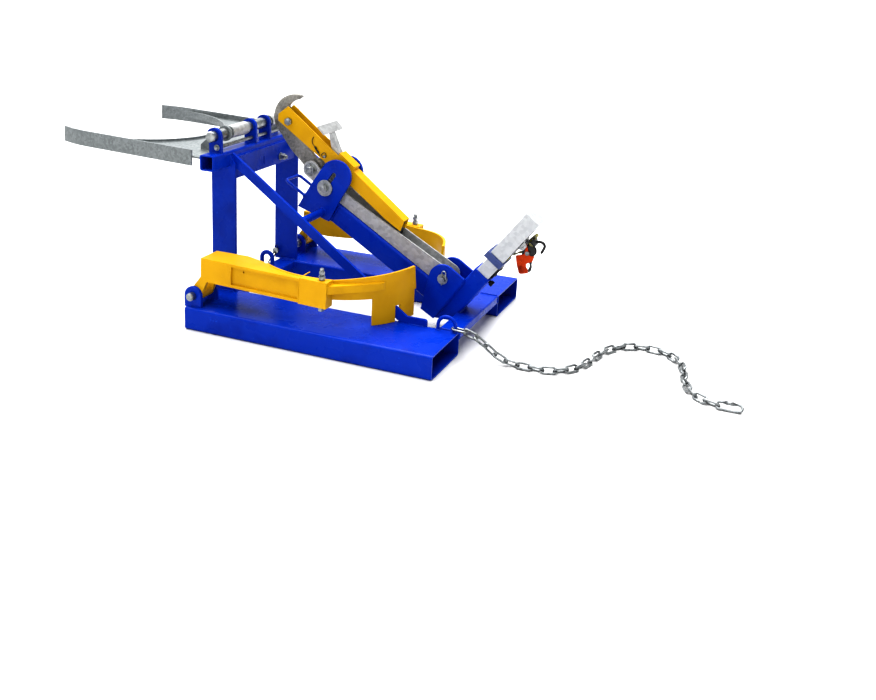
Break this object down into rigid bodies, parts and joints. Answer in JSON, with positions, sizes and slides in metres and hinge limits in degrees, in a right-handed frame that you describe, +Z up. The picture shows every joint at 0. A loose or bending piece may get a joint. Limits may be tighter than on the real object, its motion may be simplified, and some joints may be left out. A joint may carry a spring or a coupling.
{
  "type": "forklift drum lifter",
  "caption": "Fork-mounted drum lifter: two fork pockets, uprights with a hung rim fork, swinging side arms, and a sloped rail with a claw, a post and a strap ratchet.",
  "frame": {"origin": "on the floor in the middle plane, at the front ends of the two fork pockets", "axes": "+X from the drum side towards the forklift, +Y to the right-hand pocket seen from the drum, +Z up"},
  "size_m": [2.2044, 0.83, 0.7054],
  "materials": {
    "blue_paint": "glossy ultramarine enamel",
    "yellow_paint": "glossy signal yellow enamel",
    "galvanised_steel": "dull spangled zinc",
    "zinc_hardware": "bright zinc plating",
    "rough_steel": "rough flame-cut plate, dull zinc",
    "dark_paint": "dark blue-grey paint",
    "orange_paint": "orange-red powder coat",
    "black_steel": "black oxide",
    "black_plastic": "moulded black plastic"
  },
  "bodies": {
    "frame": {"left_fork_pocket": "blue_paint", "right_fork_pocket": "blue_paint", "front_cross_member": "blue_paint", "rear_cross_member": "blue_paint", "left_upright": "blue_paint", "right_upright": "blue_paint", "top_cross_tube": "blue_paint", "top_tie_plate": "blue_paint", "tie_bolt": "zinc_hardware", "left_brace": "blue_paint", "right_brace": "blue_paint", "cross_rods": "blue_paint", "shaft_hooks": "blue_paint", "keeper_rod": "zinc_hardware", "left_arm_ears": "blue_paint", "right_arm_ears": "blue_paint", "arm_hinge_pins": "zinc_hardware", "strap_eye": "blue_paint", "chain_eye": "blue_paint", "foot_lock_pins": "zinc_hardware", "mast_tube": "blue_paint", "head_plates": "blue_paint", "tower_handle": "blue_paint", "bracket_plates": "blue_paint", "socket_tube": "blue_paint", "socket_bolt": "black_steel", "rail_pivot_pin": "zinc_hardware", "pivot_hairpins": "zinc_hardware", "safety_chain": "zinc_hardware", "snap_hook": "zinc_hardware"},
    "rim_fork": {"hanger_shaft": "zinc_hardware", "shaft_spacers": "galvanised_steel", "fork_lugs": "galvanised_steel", "yoke_plate": "galvanised_steel", "rim_flange": "galvanised_steel", "rim_bands": "galvanised_steel"},
    "left_arm": {"left_arm_box": "yellow_paint", "left_arm_arc": "yellow_paint", "left_arm_pad": "yellow_paint", "left_arm_bolt": "zinc_hardware"},
    "right_arm": {"right_arm_box": "yellow_paint", "right_arm_arc": "yellow_paint", "right_arm_pad": "yellow_paint", "right_arm_bolt": "zinc_hardware"},
    "rail": {"rail_channel": "galvanised_steel", "slot_bolt": "zinc_hardware", "claw_bolt": "zinc_hardware"},
    "claw": {"claw": "rough_steel", "link_bolt": "zinc_hardware"},
    "strut": {"strut_arm": "yellow_paint", "strut_shoe": "black_plastic", "stop_plate": "galvanised_steel", "detent_pin": "zinc_hardware"},
    "post": {"post_tube": "galvanised_steel", "post_head_channel": "galvanised_steel", "post_collar": "dark_paint", "ratchet_bracket": "galvanised_steel", "ratchet_frame": "orange_paint", "strap_hook": "black_steel"},
    "ratchet_lever": {"ratchet_handle": "black_plastic"}
  },
  "joints": [
    {"name": "rim_fork_hinge", "type": "hinge", "parent": "frame", "child": "rim_fork", "pos_m": [0.018, 0, 0.592], "axis": [0, 1, 0], "range_deg": [0, 85]},
    {"name": "left_arm_hinge", "type": "hinge", "parent": "frame", "child": "left_arm", "pos_m": [0.02, -0.345, 0.109], "axis": [0, -1, 0], "range_deg": [0, 105]},
    {"name": "right_arm_hinge", "type": "hinge", "parent": "frame", "child": "right_arm", "pos_m": [0.02, 0.345, 0.109], "axis": [0, -1, 0], "range_deg": [0, 105]},
    {"name": "rail_hinge", "type": "hinge", "parent": "frame", "child": "rail", "pos_m": [0.718, 0, 0.182], "axis": [0, 1, 0], "range_deg": [0, 6.5]},
    {"name": "claw_hinge", "type": "hinge", "parent": "rail", "child": "claw", "pos_m": [0.2402, 0, 0.4714], "axis": [0, 1, 0], "range_deg": [0, 12]},
    {"name": "strut_hinge", "type": "hinge", "parent": "claw", "child": "strut", "pos_m": [0.1521, 0, 0.6182], "axis": [0, 1, 0], "range_deg": [-8.5, 0]},
    {"name": "post_slide", "type": "slide", "parent": "frame", "child": "post", "axis": [0.6018, 0, 0.7986], "range_m": [0, 0.06]},
    {"name": "ratchet_hinge", "type": "hinge", "parent": "post", "child": "ratchet_lever", "pos_m": [0.972, 0, 0.2968], "axis": [0, -1, 0], "range_deg": [-35, 30]}
  ],
  "couplings": [
    {"joint": "strut_hinge", "follows": "claw_hinge", "ratio": -0.7057}
  ]
}
